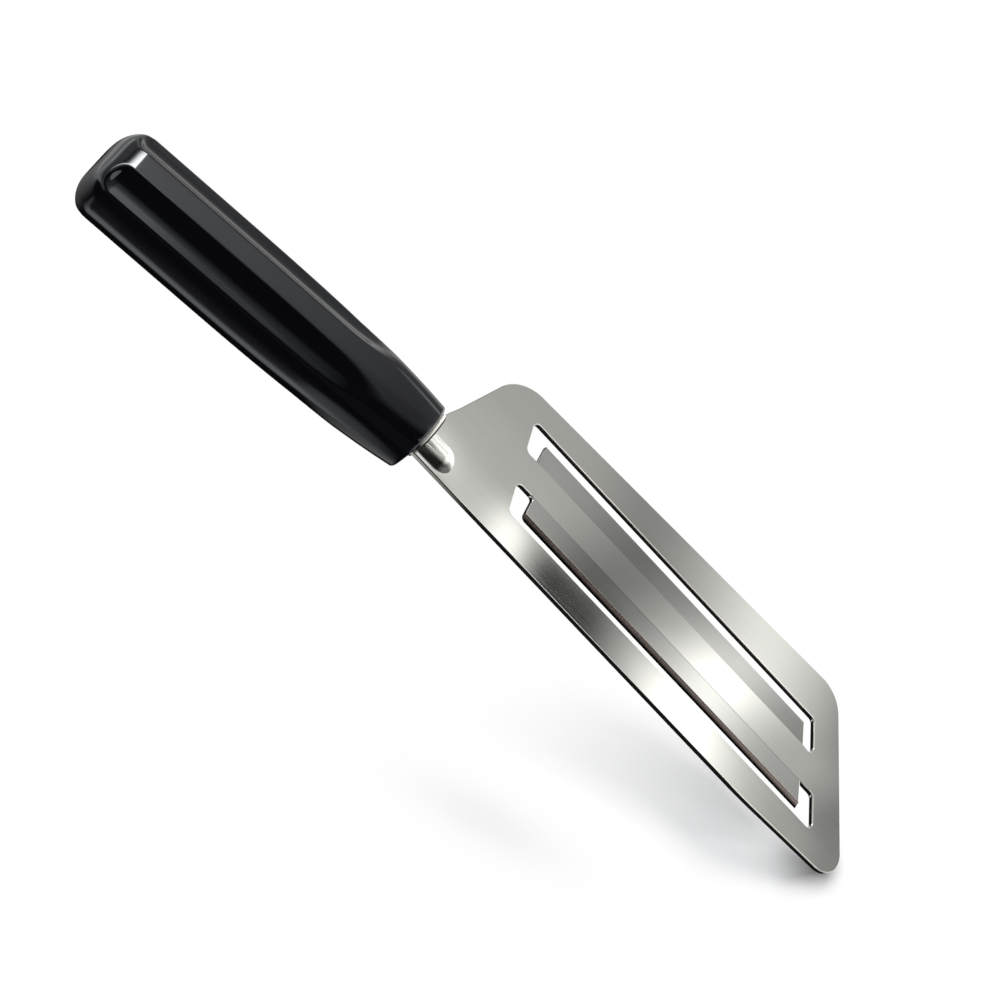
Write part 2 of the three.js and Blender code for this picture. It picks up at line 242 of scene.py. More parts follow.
class Tree:
    """Node tree of a material or world, filled from empty."""

    def __init__(self, owner):
        owner.use_nodes = True
        self.nodes = owner.node_tree.nodes
        self.links = owner.node_tree.links
        self.nodes.clear()

    def node(self, kind, settings=None, sockets=None, out=0):
        """Adds a node, sets its settings, then its sockets; gives the output asked for."""
        made = self.nodes.new("ShaderNode" + kind)
        for name, setting in (settings or {}).items():
            setattr(made, name, setting)
        for name, given in (sockets or {}).items():
            if isinstance(given, Value):
                self.links.new(given.socket, made.inputs[name])
            else:
                made.inputs[name].default_value = given
        return Value(self, made.outputs[out]) if made.outputs else None

    def axes(self):
        """Object coordinates along X, Y and Z, in metres."""
        where = self.node("TexCoord", out="Object")
        return [self.node("SeparateXYZ", None, {0: where}, out=axis) for axis in "XYZ"]

    def place(self, scale):
        """Object coordinates, scaled along each axis."""
        where = self.node("TexCoord", out="Object")
        return self.node("Mapping", {"vector_type": "POINT"}, {"Vector": where, "Scale": scale})

    def noise(self, scale, detail=2.0, roughness=0.5):
        """Noise about 0.5; the scale is in waves per metre along X, Y and Z."""
        sockets = {"Vector": self.place(scale), "Scale": 1.0, "Detail": detail, "Roughness": roughness}
        return self.node("TexNoise", {"noise_dimensions": "3D"}, sockets, out="Fac")

    def blend(self, factor, first, second):
        """Colour between two colours."""
        settings = {"data_type": "RGBA", "blend_type": "MIX"}
        return self.node("Mix", settings, {0: factor, 6: first, 7: second}, out=2)

    def bump(self, strength, distance, height):
        """Normal raised by a height."""
        return self.node("Bump", None, {"Strength": strength, "Distance": distance, "Height": height})

    def mix(self, factor, first, second):
        """Shader between two shaders."""
        return self.node("MixShader", None, {0: factor, 1: first, 2: second})


def rgba(colour, level=1.0):
    return tuple(min(1.0, part * level) for part in colour) + (1.0,)


def surface(material_name, colour, metallic, fill):
    """Material with one Principled surface; fill adds its varying sockets."""
    material = bpy.data.materials.new(material_name)
    material.diffuse_color = rgba(colour)
    material.metallic = metallic
    tree = Tree(material)
    sockets = {"Metallic": metallic}
    sockets.update(fill(tree))
    shader = tree.node("BsdfPrincipled", None, sockets)
    tree.node("OutputMaterial", None, {"Surface": shader})
    return material


# ---------------------------------------------------------------- finishes


CUT_SHADE = (-0.3 * MM, 0.35 * MM)  # painted shade at the cutting edge, in height about the sheet's middle
RIDGE_SHADE = (0.55 * MM, 0.8 * MM)  # ridge of a bevel painted darker as shade, above the sheet's middle
CREASE_SHADE_WIDTH = 0.22 * MM  # painted shade line along the lower crease
CREASE_SHADE_RUN = (20 * MM, 80 * MM)  # growth of that painted line along the plate
BETWEEN_WINGS = (3 * MM, 6 * MM)  # past the lower crease, on the flat between the two wings
UPPER_SHADE = (55 * MM, 85 * MM)  # growth of the upper wing's painted shade along the plate
LOWER_SHADE = (35 * MM, 14 * MM)  # middle and width of the lower wing's patch of painted shade along the plate
RIB_SIDE_SHADE = (-4.8 * MM, -2.6 * MM)  # painted shade on the rib's lower side, from its middle line
FLANK_TURN = 0.25  # slope of that middle line across the plate
UNDERSIDE_SHADE_LEVEL = 2.5 * MM  # painted shade on the collar's underside, up to this height above the handle's seat
UNDERSIDE_SHADE_FADE = 2 * MM  # height over which that painted shade ends


def rolled_steel(plate):
    """Satin rolled sheet: fine lengthwise grain, a few long hairlines and a cloudy handling bloom."""

    def fill(tree):
        grain = tree.noise((30.0, 2600.0, 2600.0), detail=3.0)
        hair = tree.noise((14.0, 5200.0, 900.0), detail=0.0)
        hairline = ((hair - 0.7) * 9.0).clamped()
        bloom = tree.noise((55.0, 70.0, 70.0), detail=3.0)
        tone = (grain * 0.6 + bloom * 0.4).clamped()
        colour = tree.blend(tone, rgba(plate.colour, 0.94), rgba(plate.colour, 1.05))
        rough = plate.roughness + (grain - 0.5) * 0.03 + (bloom - 0.5) * 0.05 + hairline * 0.04
        height = grain + hairline * -0.7
        bump = tree.bump(0.007, 0.05 * MM, height)
        return {"Base Color": colour, "Roughness": rough, "Normal": bump}

    return surface("rolled_steel", plate.colour, 1.0, fill)


def ground_steel(plate, middle):
    """Ground bevel: short grinding lines across the edge, with painted shade at its ridge and its cutting
    edge.
    """

    def fill(tree):
        _, _, z = tree.axes()
        # painted shade: the base colour goes black at the cutting edge and half-way to black on the ridge
        cutting = 1.0 - (z - middle).rise(*CUT_SHADE)
        ridge = (z - middle).rise(*RIDGE_SHADE) * 0.5
        lines = tree.noise((5200.0, 180.0, 180.0), detail=3.0, roughness=0.6)
        wear = tree.noise((160.0, 160.0, 160.0), detail=3.0)
        tone = (lines * 0.7 + wear * 0.3).clamped()
        clean = tree.blend(tone, rgba(plate.ground, 0.8), rgba(plate.ground, 1.08))
        colour = tree.blend(cutting.at_least(ridge), clean, rgba(plate.ground, 0.0))
        rough = 0.26 + (lines - 0.5) * 0.18 + (wear - 0.5) * 0.08
        bump = tree.bump(0.025, 0.03 * MM, lines)
        return {"Base Color": colour, "Roughness": rough, "Normal": bump}

    return surface("ground_steel", plate.ground, 1.0, fill)


def honed_steel(plate, crease):
    """Honed wing faces: fine lines along the strip, a painted shade line at the lower crease and stretches
    of painted shade.

    The upper wing is painted darker towards the tip, the lower one in a patch nearer to the neck.
    """

    def fill(tree):
        x, y, _ = tree.axes()
        # painted shade: a dark line along the lower crease, growing along the plate
        crease_shade = y.swell(crease, CREASE_SHADE_WIDTH) * x.rise(*CREASE_SHADE_RUN)
        upper = (y - crease).rise(*BETWEEN_WINGS)
        # painted shade on the wings: the upper one darker towards the tip, the lower one in a patch near
        # the neck
        upper_shade = 0.08 + x.rise(*UPPER_SHADE) * 0.25
        lower_shade = x.swell(*LOWER_SHADE) * 0.33
        wing_shade = upper * upper_shade + (1.0 - upper) * lower_shade
        lines = tree.noise((24.0, 3800.0, 3800.0), detail=3.0, roughness=0.6)
        wear = tree.noise((90.0, 120.0, 120.0), detail=3.0)
        tone = (lines * 0.6 + wear * 0.4).clamped()
        clean = tree.blend(tone, rgba(plate.honed, 0.92), rgba(plate.honed, 1.06))
        colour = tree.blend(crease_shade * 0.6, clean, rgba(plate.honed, 0.3))
        colour = tree.blend(wing_shade, colour, rgba(plate.honed, 0.0))
        rough = plate.roughness + 0.02 + (lines - 0.5) * 0.08 + (wear - 0.5) * 0.05
        bump = tree.bump(0.04, 0.05 * MM, lines)
        return {"Base Color": colour, "Roughness": rough, "Normal": bump}

    return surface("honed_steel", plate.honed, 1.0, fill)


def pressed_steel(plate, neck):
    """Pressed rib: faint flow of the metal, base colour painted brighter than the sheet as a highlight, and
    painted shade along its lower side.
    """

    def fill(tree):
        x, y, _ = tree.axes()
        # painted shade: the rib's lower side goes nearly black
        side = y - neck.y - (x - neck.x) * FLANK_TURN
        rib_side_shade = 1.0 - side.rise(*RIB_SIDE_SHADE)
        drawn = tree.noise((220.0, 900.0, 900.0), detail=3.0)
        bloom = tree.noise((160.0, 160.0, 160.0), detail=2.0)
        # painted highlight: the rib's steel is made about half again brighter than the sheet's
        rib_highlight = tree.blend(bloom, rgba(plate.colour, 1.5), rgba(plate.colour, 1.62))
        colour = tree.blend(rib_side_shade * 0.9, rib_highlight, rgba(plate.colour, 0.1))
        rough = 0.3 + (drawn - 0.5) * 0.08 + (bloom - 0.5) * 0.05
        bump = tree.bump(0.012, 0.03 * MM, drawn)
        return {"Base Color": colour, "Roughness": rough, "Normal": bump}

    return surface("pressed_steel", plate.colour, 1.0, fill)


def black_plastic(handle):
    """Moulded plastic: fine spark texture, soft flow clouds and a slightly polished bloom from handling."""

    def fill(tree):
        spark = tree.noise((2400.0, 2400.0, 2400.0), detail=2.0)
        flow = tree.noise((28.0, 90.0, 90.0), detail=3.0)
        bloom = tree.noise((60.0, 60.0, 60.0), detail=2.0)
        tone = (flow * 0.7 + spark * 0.3).clamped()
        colour = tree.blend(tone, rgba(handle.colour, 0.8), rgba(handle.colour, 1.25))
        rough = handle.roughness + (flow - 0.5) * 0.03 + (bloom - 0.5) * 0.03 + (spark - 0.5) * 0.02
        bump = tree.bump(0.008, 0.05 * MM, spark)
        cool = (0.93, 0.965, 1.0, 1.0)
        return {"Base Color": colour, "Roughness": rough, "Normal": bump, "IOR": 1.5, "Specular Tint": cool}

    return surface("black_plastic", handle.colour, 0.0, fill)


def bright_steel(collar, underside):
    """Bright satin collar with faint turning lines, and painted shade in its grooves and towards its
    underside.
    """

    def fill(tree):
        turning = tree.noise((4200.0, 260.0, 260.0), detail=2.0)
        bloom = tree.noise((300.0, 300.0, 300.0), detail=2.0)
        _, _, z = tree.axes()
        groove = tree.node("Attribute", {"attribute_name": "groove"}, out="Fac")
        bright = tree.blend(bloom, rgba(collar.colour, 0.95), rgba(collar.colour, 1.03))
        # painted shade: black in the grooves and below the given height on the underside
        collar_shade = groove.at_least(1.0 - (z - underside).rise(0.0, UNDERSIDE_SHADE_FADE))
        colour = tree.blend(collar_shade, bright, rgba(collar.colour, 0.02))
        rough = 0.4 + (turning - 0.5) * 0.1 + (bloom - 0.5) * 0.06
        bump = tree.bump(0.05, 0.02 * MM, turning)
        return {"Base Color": colour, "Roughness": rough, "Normal": bump}

    return surface("bright_steel", collar.colour, 0.3, fill)


# ---------------------------------------------------------------- shapes


WELD = 0.002 * MM  # points nearer than this are one
FLAT_TURN = np.radians(0.4)  # faces that turn less than this are one
SHARP_TURN = np.radians(28.0)  # edges that turn less than this stay as they are
TOP_SHARE, BEVEL_SHARE, OTHER_SHARE = 1.0, 0.12, 0.35  # share of the rounding, by edge
TOP_FACING = 0.9  # upward part of a top face's normal
ROLLED, GROUND, HONED, PRESSED = range(4)  # finishes of the plate, in order
FRONT_ROWS, RIM_ROWS, SIDE_ROWS, BUTT_ROWS, CAP_ROWS = 5, 13, 130, 31, 6  # rows of the handle's skin
MELT_TURN = 0.4  # sine of the turn towards the side over which a flute melts


def sheet_copy(node, piece_name):
    """Copy of a solid's mesh with its doubles merged and its flat triangles joined into plain faces."""
    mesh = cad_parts[node].data.copy()
    mesh.name = piece_name
    mesh.materials.clear()
    edit = bmesh.new()
    edit.from_mesh(mesh)
    bmesh.ops.remove_doubles(edit, verts=edit.verts, dist=WELD)
    bmesh.ops.dissolve_limit(
        edit, angle_limit=FLAT_TURN, verts=edit.verts, edges=edit.edges, delimit=set())
    edit.to_mesh(mesh)
    edit.free()
    return mesh


def piece_object(piece_name, mesh, node, materials):
    """Object at the origin that stands for a solid and takes its finish from a slot."""
    piece = bpy.data.objects.new(piece_name, mesh)
    bpy.context.scene.collection.objects.link(piece)
    for material in materials:
        mesh.materials.append(material)
    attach(piece, "root")
    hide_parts(node)
    return piece


def rounded_edges(piece, width, steps):
    """Rounding along outward edges, most on the top face's and least on the bevels', with even shading."""
    mesh = piece.data
    edit = bmesh.new()
    edit.from_mesh(mesh)
    weight = edit.edges.layers.float.new("bevel_weight_edge")
    for edge in edit.edges:
        turn = edge.calc_face_angle_signed(0.0)
        faces = edge.link_faces
        top = max(face.normal.z for face in faces) > TOP_FACING
        finishes = {face.material_index for face in faces}
        share = BEVEL_SHARE if GROUND in finishes else TOP_SHARE if top else OTHER_SHARE
        edge[weight] = 0.0 if turn < SHARP_TURN else share
        edge.smooth = len(finishes) == 1
    edit.to_mesh(mesh)
    edit.free()
    bevel = piece.modifiers.new("rounding", "BEVEL")
    bevel.width = width
    bevel.segments = steps
    bevel.limit_method = "WEIGHT"
    bevel.use_clamp_overlap = False
    bevel.miter_outer = "MITER_ARC"
    even = piece.modifiers.new("even_faces", "WEIGHTED_NORMAL")
    even.mode = "FACE_AREA"
    even.weight = 50
    even.keep_sharp = True
    mesh.polygons.foreach_set("use_smooth", np.ones(len(mesh.polygons), dtype=bool))


def lower_crease(mesh, wing):
    """Place across Y where the lower wing's faces end at the flat of the strip."""
    faces = [mesh.polygons[i] for i in np.flatnonzero(wing)]
    lower = min(faces, key=lambda face: face.center.y)
    return max(mesh.vertices[i].co.y for i in lower.vertices)


def handle_rows(handle):
    """Stations from front to butt as columns x, inset and shrink.

    The front rim and the butt's rim are quarter circles of station and inset;
    both end faces shrink towards a point.
    """
    rim, butt = handle.front_round, handle.butt_round
    back = handle.length - butt
    quarter = np.linspace(0.0, np.pi / 2, RIM_ROWS)
    turn = np.linspace(0.0, np.pi / 2, BUTT_ROWS)
    along = np.linspace(-rim, -back, SIDE_ROWS + 2)[1:-1]
    station = np.concatenate([
        np.zeros(FRONT_ROWS), rim * (np.cos(quarter) - 1), along,
        -back - butt * np.sin(turn), np.full(CAP_ROWS, -handle.length)])
    inset = np.concatenate([
        np.full(FRONT_ROWS, rim), rim * (1 - np.sin(quarter)), 0 * along,
        butt * (1 - np.cos(turn)), np.full(CAP_ROWS, butt)])
    shrink = np.concatenate([
        np.linspace(0.12, 0.94, FRONT_ROWS), np.ones(RIM_ROWS + SIDE_ROWS + BUTT_ROWS),
        np.linspace(0.9, 0.1, CAP_ROWS)])
    return station[:, None], inset[:, None], shrink[:, None]


def soft_least(first, second, soft):
    """The lesser of two lengths, rounded off where they differ by less than the softness."""
    near = np.clip(soft - np.abs(first - second), 0.0, None) / soft
    return np.minimum(first, second) - near * near * soft / 4


def handle_skin(handle, columns=336):
    """Grid of the handle's skin over station and angle.

    The radius at an angle is that of an oval |y/a|^n + |z/b|^n = 1 whose halves and exponent
    grow from the front by 1 - (1 - t)^3, less where the ray enters a flute's round bar first.
    A flute's bar keeps its radius over its full run and closes as an ellipse at both ends;
    the rounding between oval and bar grows towards the side and towards both ends.
    The whole skin then leans by the end slant, x + y tan(slant).
    """
    station, inset, shrink = handle_rows(handle)
    angle = np.linspace(0.0, 2 * np.pi, columns, endpoint=False)[None, :]
    c, s = np.cos(angle), np.sin(angle)
    grown = 1 - (1 - np.clip(-station / handle.taper, 0.0, 1.0)) ** 3
    half_w = (handle.front_width + (handle.width - handle.front_width) * grown) / 2 - inset
    half_t = (handle.front_thick + (handle.thick - handle.front_thick) * grown) / 2 - inset
    power = handle.front_square + (handle.body_square - handle.front_square) * grown
    oval = (np.abs(c / half_w) ** power + np.abs(s / half_t) ** power) ** (-1 / power)

    inner = np.array([handle.facet / 2, handle.thick / 2])
    outer = np.array([handle.width / 2 - handle.flute_side, handle.thick / 2 - handle.flute_drop])
    chord = outer - inner
    radius = (chord @ chord / 4 + handle.flute_depth ** 2) / (2 * handle.flute_depth)
    outward = np.array([-chord[1], chord[0]]) / np.hypot(*chord)
    centre = (inner + outer) / 2 + outward * (radius - handle.flute_depth)
    scoop_at = handle.flute_butt - handle.length
    toward = np.abs(c) * centre[0] + np.abs(s) * centre[1]
    scoop = np.clip((scoop_at - station) / handle.flute_scoop, 0.0, 1.0)
    runout = np.clip((station + handle.flute_front) / handle.flute_runout, 0.0, 1.0)
    bar = radius * np.sqrt(1 - np.maximum(scoop, runout) ** 2)
    inside = toward ** 2 - centre @ centre + bar ** 2
    entry = np.where(inside > 0, toward - np.sqrt(np.clip(inside, 0.0, None)), 1.0)
    outside = (np.abs(c) * centre[1] - np.abs(s) * centre[0]) / np.hypot(*centre)
    fading = np.maximum(np.clip(outside / MELT_TURN, 0.0, 1.0), np.maximum(scoop, runout))
    reach = soft_least(oval, entry, handle.softness + (handle.melt - handle.softness) * fading) * shrink
    y = reach * c
    z = reach * s
    x = station + y * np.tan(handle.slant) - handle.setback
    points = np.stack([x, y, z], axis=-1)
    poles = np.array([[-handle.setback, 0.0, 0.0], [-handle.setback - handle.length, 0.0, 0.0]])
    return points, poles


def collar_skin(collar, handle, columns=160):
    """Grid of the collar's skin over station and angle, with the share of groove depth at each point.

    An oval |y/a|^n + |z/b|^n = 1 off the handle's axis, run from front to back with a plain band between
    two grooves; the skin leans with the handle's front face and both ends shrink to a point.
    """
    reach, groove = collar.reach, collar.groove
    share = np.array([1.0, 1.0, 1.0, 0.75, 0.71, 0.66, 0.28, 0.24, 0.2, 0.0, 0.0, 0.0])[:, None]
    inset = groove * np.array([1.0, 1.0, 1.0, 1.0, 0.2, 0.0, 0.0, 0.2, 1.0, 1.0, 1.0, 1.0])[:, None]
    shrink = np.array([0.2, 0.9, 1.0, 1.0, 1.0, 1.0, 1.0, 1.0, 1.0, 1.0, 0.9, 0.2])[:, None]
    angle = np.linspace(0.0, 2 * np.pi, columns, endpoint=False)[None, :]
    c, s = np.cos(angle), np.sin(angle)
    half_w, half_t, power = collar.width / 2 - inset, collar.thick / 2 - inset, handle.front_square
    oval = (np.abs(c / half_w) ** power + np.abs(s / half_t) ** power) ** (-1 / power) * shrink
    y = oval * c + collar.shift
    z = oval * s
    x = share * reach + y * np.tan(handle.slant) - handle.setback
    points = np.stack(np.broadcast_arrays(x, y, z), axis=-1)
    lean = collar.shift * np.tan(handle.slant) - handle.setback
    poles = np.array([[reach + lean, collar.shift, 0.0], [lean, collar.shift, 0.0]])
    depth = np.concatenate([np.broadcast_to(inset / groove, (len(inset), columns)).ravel(), [1.0, 1.0]])
    return points, poles, depth


def handle_seat(handle):
    """Place of the handle's own axes in the frame."""
    return Matrix.Translation(handle.seat) @ Matrix.Rotation(-handle.drop, 4, "Y")


def closed_skin(piece_name, points, poles):
    """Mesh of a grid closed round its columns, with a fan to a pole at each end."""
    count, columns = points.shape[:2]
    index = np.arange(count * columns).reshape(count, columns)
    after = np.roll(index, -1, axis=1)
    quads = np.stack([index[:-1], index[1:], after[1:], after[:-1]], axis=-1).reshape(-1, 4)
    front, butt = count * columns, count * columns + 1
    front_fan = np.stack([np.full(columns, front), index[0], after[0]], axis=-1)
    butt_fan = np.stack([np.full(columns, butt), after[-1], index[-1]], axis=-1)
    faces = quads.tolist() + front_fan.tolist() + butt_fan.tolist()
    mesh = bpy.data.meshes.new(piece_name)
    mesh.from_pydata(np.concatenate([points.reshape(-1, 3), poles]).tolist(), [], faces)
    mesh.polygons.foreach_set("use_smooth", np.ones(len(mesh.polygons), dtype=bool))
    mesh.update()
    return mesh


# ---------------------------------------------------------------- pieces


UPWARD = 0.5  # upward part of a bevel's or wing's normal is above this
BEVEL_SLOPE = (0.5, 0.85)  # sideways part of a bevel's normal
WING_SLOPE = (0.006, 0.06)  # sideways part of a wing's normal
WING_LEVEL = 0.005  # lengthwise part of a wing's normal stays below this
RIB_REACH = 14 * MM  # rib's end past the bend of the neck
RIB_RISE = 0.82 * MM  # rib's faces lie more than this above the sheet's middle


class SLICER_OT_plate(bpy.types.Operator):
    """Slicing plate: the sheet's solid with rounded edges and rolled, ground, honed and pressed faces."""

    bl_idname = "slicer.plate"
    bl_label = "Slicing plate"

    def execute(self, context):
        plate = context.scene.slicer_plate
        mesh = sheet_copy("slicing_plate", "slicing_plate_sheet")
        count = len(mesh.polygons)
        normals = np.empty(count * 3)
        centres = np.empty(count * 3)
        mesh.polygons.foreach_get("normal", normals)
        mesh.polygons.foreach_get("center", centres)
        normals, centres = normals.reshape(-1, 3), centres.reshape(-1, 3)
        slope = np.abs(normals[:, 1])
        facing = (normals[:, 2] > UPWARD) & (centres[:, 0] > 0.0)
        bevel = facing & (slope > BEVEL_SLOPE[0]) & (slope < BEVEL_SLOPE[1])
        wing = facing & (slope > WING_SLOPE[0]) & (slope < WING_SLOPE[1])
        wing &= np.abs(normals[:, 0]) < WING_LEVEL
        neck = Vector(context.scene.slicer_handle.seat)
        rib = (centres[:, 0] < neck.x + RIB_REACH) & (centres[:, 2] > neck.z + RIB_RISE)
        finish = np.select([bevel, wing, rib], [GROUND, HONED, PRESSED], ROLLED)
        mesh.polygons.foreach_set("material_index", finish.astype(np.int32))
        crease = lower_crease(mesh, wing)
        finishes = [
            rolled_steel(plate), ground_steel(plate, neck.z), honed_steel(plate, crease),
            pressed_steel(plate, neck)]
        piece = piece_object(
            "slicing_plate_sheet", mesh, "slicing_plate", finishes)
        rounded_edges(piece, plate.edge, plate.edge_steps)
        return {"FINISHED"}


class SLICER_OT_handle(bpy.types.Operator):
    """Moulded handle with four shoulder flutes."""

    bl_idname = "slicer.handle"
    bl_label = "Handle"

    def execute(self, context):
        handle = context.scene.slicer_handle
        mesh = closed_skin("handle_moulding", *handle_skin(handle))
        mesh.transform(handle_seat(handle))
        piece_object("handle_moulding", mesh, "handle", [black_plastic(handle)])
        return {"FINISHED"}


class SLICER_OT_collar(bpy.types.Operator):
    """Bright collar on the handle's front face."""

    bl_idname = "slicer.collar"
    bl_label = "Front collar"

    def execute(self, context):
        collar = context.scene.slicer_collar
        handle = context.scene.slicer_handle
        points, poles, depth = collar_skin(collar, handle)
        mesh = closed_skin("front_collar_ring", points, poles)
        groove = mesh.attributes.new("groove", "FLOAT", "POINT")
        groove.data.foreach_set("value", depth)
        mesh.transform(handle_seat(handle))
        underside = handle.seat[2] + UNDERSIDE_SHADE_LEVEL
        piece_object(
            "front_collar_ring", mesh, "front_collar", [bright_steel(collar, underside)])
        return {"FINISHED"}


# ---------------------------------------------------------------- stage


WHITE = (1.0, 1.0, 1.0, 1.0)
BLACK = (0.0, 0.0, 0.0, 1.0)
COOL_GLOW = (0.97, 0.985, 1.0, 1.0)
PAPER = (0.75, 0.752, 0.76, 1.0)

# The camera's own axes in the frame.
RIGHT = Vector((0.65188059, 0.34078525, 0.67743421))
UP = Vector((-0.6893444, 0.63856512, 0.34210947))
TOWARD = Vector((-0.316, -0.69, 0.65118661))
SENSOR = 36.0  # millimetres
NEAR_CLIP = 0.01

# The two directions in which a card lies.
LEVEL = ((1, 0, 0), (0, 1, 0))
UPRIGHT = ((1, 0, 0), (0, 0, 1))
SIDEWAYS = ((0, 1, 0), (0, 0, 1))

BANDED_HEIGHT = 0.22  # banded card above the plate
MIRROR_SHIFT = (67.4, 211.4)  # where the plate's own zero is mirrored on the banded card, in millimetres
MIRROR_GROWTH = 1.278  # growth of the plate's millimetres on that card

FLOOR_TOP = 23.4 * MM  # just under the lower face of the tip
FLOOR_LINE = 4 * MM  # middle line of the floor, in from the plate's lower side
FLOOR_MIDDLE = 0.10  # middle of the floor, down its fall from the tip
FLOOR_SIZE = (0.24, 0.4)

ROOM_LIGHT = 0.62  # level of the room as a source of light; it is seen and mirrored as 1

# Lamps by name: place, aim, width and power in watts.
LAMPS = {
    "key": ((0.25, 1.0, 0.5), (0.1, 0.0, 0.0), 1.0, 17.0),
    "side": ((-0.9, 0.3, 0.5), (-0.1, 0.0, 0.0), 0.4, 3.0),
}


def panel(panel_name, centre, across, along, size, material, **rays):
    """Flat rectangle spanned by two directions about a centre, seen only by the rays named."""
    across, along = Vector(across).normalized(), Vector(along).normalized()
    reach = [(-1, -1), (1, -1), (1, 1), (-1, 1)]
    corners = [Vector(centre) + across * (i * size[0] / 2) + along * (j * size[1] / 2) for i, j in reach]
    mesh = bpy.data.meshes.new(panel_name)
    mesh.from_pydata([tuple(corner) for corner in corners], [], [(0, 1, 2, 3)])
    mesh.materials.append(material)
    card = bpy.data.objects.new(panel_name, mesh)
    bpy.context.scene.collection.objects.link(card)
    for ray in ("camera", "diffuse", "glossy", "transmission", "volume_scatter", "shadow"):
        setattr(card, "visible_" + ray, rays.get(ray, False))
    return card


def glow(material_name, pattern):
    """Glowing finish whose level is a pattern of the place along X, Y and Z."""
    material = bpy.data.materials.new(material_name)
    tree = Tree(material)
    shader = tree.node("Emission", None, {"Color": WHITE, "Strength": pattern(*tree.axes())})
    tree.node("OutputMaterial", None, {"Surface": shader})
    return material


def steady(level):
    """Pattern of one level all over."""
    return lambda x, y, z: level


def overhead(x, y, _):
    """Dark overhead, opening to light at the back, most above the butt."""
    butt = 1.0 - x.rise(-0.13, -0.09)
    back = y.rise(0.02, 0.22) * (1.0 + butt) * 0.42
    bevel = (1.0 - y.rise(-0.46, -0.34)) * (0.02 + x.rise(0.26, 0.33) * 0.08)
    left = (1.0 - x.rise(-0.45, -0.32)) * 0.5
    return 0.01 + back + bevel + left


def ahead(x, _y, _z):
    """Dark in front of the slicer, opening to light at both ends."""
    right = x.rise(0.34, 0.46)
    left = 1.0 - x.rise(-0.42, -0.3)
    return 0.05 + 0.6 * (right + left)


def aside(_x, _y, z):
    """Light beyond the butt, brightest low down."""
    low = 1.0 - z.rise(-0.02, 0.08)
    return 0.45 + 1.55 * low


def behind(_x, _y, z):
    """Light behind the handle, brightest low down."""
    low = 1.0 - z.rise(0.02, 0.14)
    return 0.36 + 0.6 * low


def below(x, y, _):
    """Dark below the slicer, with a bright streak beside the handle, light at the left and greys behind."""
    front = x.rise(-0.02, 0.02)
    side = y + (x + 0.05) * 0.12
    streak = side.rise(-0.139 - front * 0.04, -0.135 + front * 0.03)
    streak = streak * (1.0 - side.rise(-0.12, -0.108) * (1.0 - front)) * (1.0 - front * 0.5)
    beside = (1.0 - y.rise(-0.05, -0.02)) * (1.0 - x.rise(0.02, 0.045)) * x.rise(-0.19, -0.14)
    back = y.rise(0.15, 0.25)
    left = 0.4 + (1.0 - x.rise(-0.42, -0.2)) * (1.0 - back) * 1.6 + back * 0.2
    left = left * (1.0 - x.rise(-0.19, -0.15)) * y.rise(-0.11, -0.05)
    behind_grip = (1.0 - x.rise(0.02, 0.05)) * y.rise(0.13, 0.15) * (1.0 - y.rise(0.33, 0.4)) * 0.5
    behind_plate = y.rise(0.0, 0.05) * x.rise(0.0, 0.06) * 0.5
    return 0.01 + behind_plate + streak * beside * 1.7 + left + behind_grip


def plate_bands(u, v):
    """Bands that the plate mirrors, by its own millimetres along and across.

    The lower rail, the strip and the upper rail each have a row of bright and dark bands.
    """
    low = 1.0 - v.rise(4.0, 12.0)
    high = v.rise(28.0, 38.0)
    dark = u.rise(42.0, 52.0) - u.rise(72.0, 104.0)
    lower = 0.85 - dark * 0.81 + u.swell(37.0, 6.5) * 1.2 + u.swell(112.0, 19.0) * 1.4
    lower = lower - u.rise(132.0, 152.0) * 0.3 - u.rise(164.0, 176.0) * 0.2
    upper = 0.55 - u.swell(76.0, 18.0) * 0.2 + u.swell(128.0, 22.0) * 0.72 - u.rise(150.0, 165.0) * 0.2
    slanted = u - (v - 22.0) * 0.5
    middle = 0.63 - slanted.swell(75.0, 20.0) * 0.35 + slanted.swell(119.0, 15.0) * 1.5
    middle = middle - slanted.rise(158.0, 174.0) * 0.35
    front = (1.0 - v.rise(-60.0, -25.0)) * 0.9
    back = v.rise(60.0, 90.0) * (1.0 - u.rise(15.0, 30.0)) * 1.3
    beside_rib = u.swell(5.0, 8.0) * v.swell(1.0, 8.0) * 0.6
    below_rib = u.swell(9.0, 3.5) * v.swell(-7.0, 2.5) * 1.4
    return lower * low + upper * high + middle * (1.0 - low - high) + front + beside_rib - below_rib + back


def handle_bands(u, v):
    """Bands that the handle mirrors: its facet, both sides of it and the bright end by the butt."""
    facet = (0.4 + (1.0 - u.rise(-155.0, -40.0)) * 0.95) * (0.35 + u.rise(-260.0, -180.0) * 0.65)
    left = (1.0 - v.rise(-40.0, -12.0)) * (0.7 * (1.0 - u.rise(-155.0, -135.0)) - 0.3)
    right = v.rise(5.0, 20.0) * (1.0 - u.rise(-85.0, -65.0)) * 0.58
    spot = u.rise(-400.0, -240.0) * (1.0 - u.rise(-172.0, -164.0)) * v.swell(-8.0, 40.0)
    return facet * (1.0 + left - right) + spot * 22.0


def banded(x, y, _):
    """Soft bright and dark bands that the plate and the handle mirror."""
    u = (x / MM - MIRROR_SHIFT[0]) / MIRROR_GROWTH
    v = (y / MM - MIRROR_SHIFT[1]) / MIRROR_GROWTH
    grip = 1.0 - u.rise(-45.0, -10.0)
    level = plate_bands(u, v) * (1.0 - grip) + handle_bands(u, v) * grip
    return level.at_least(0.02)


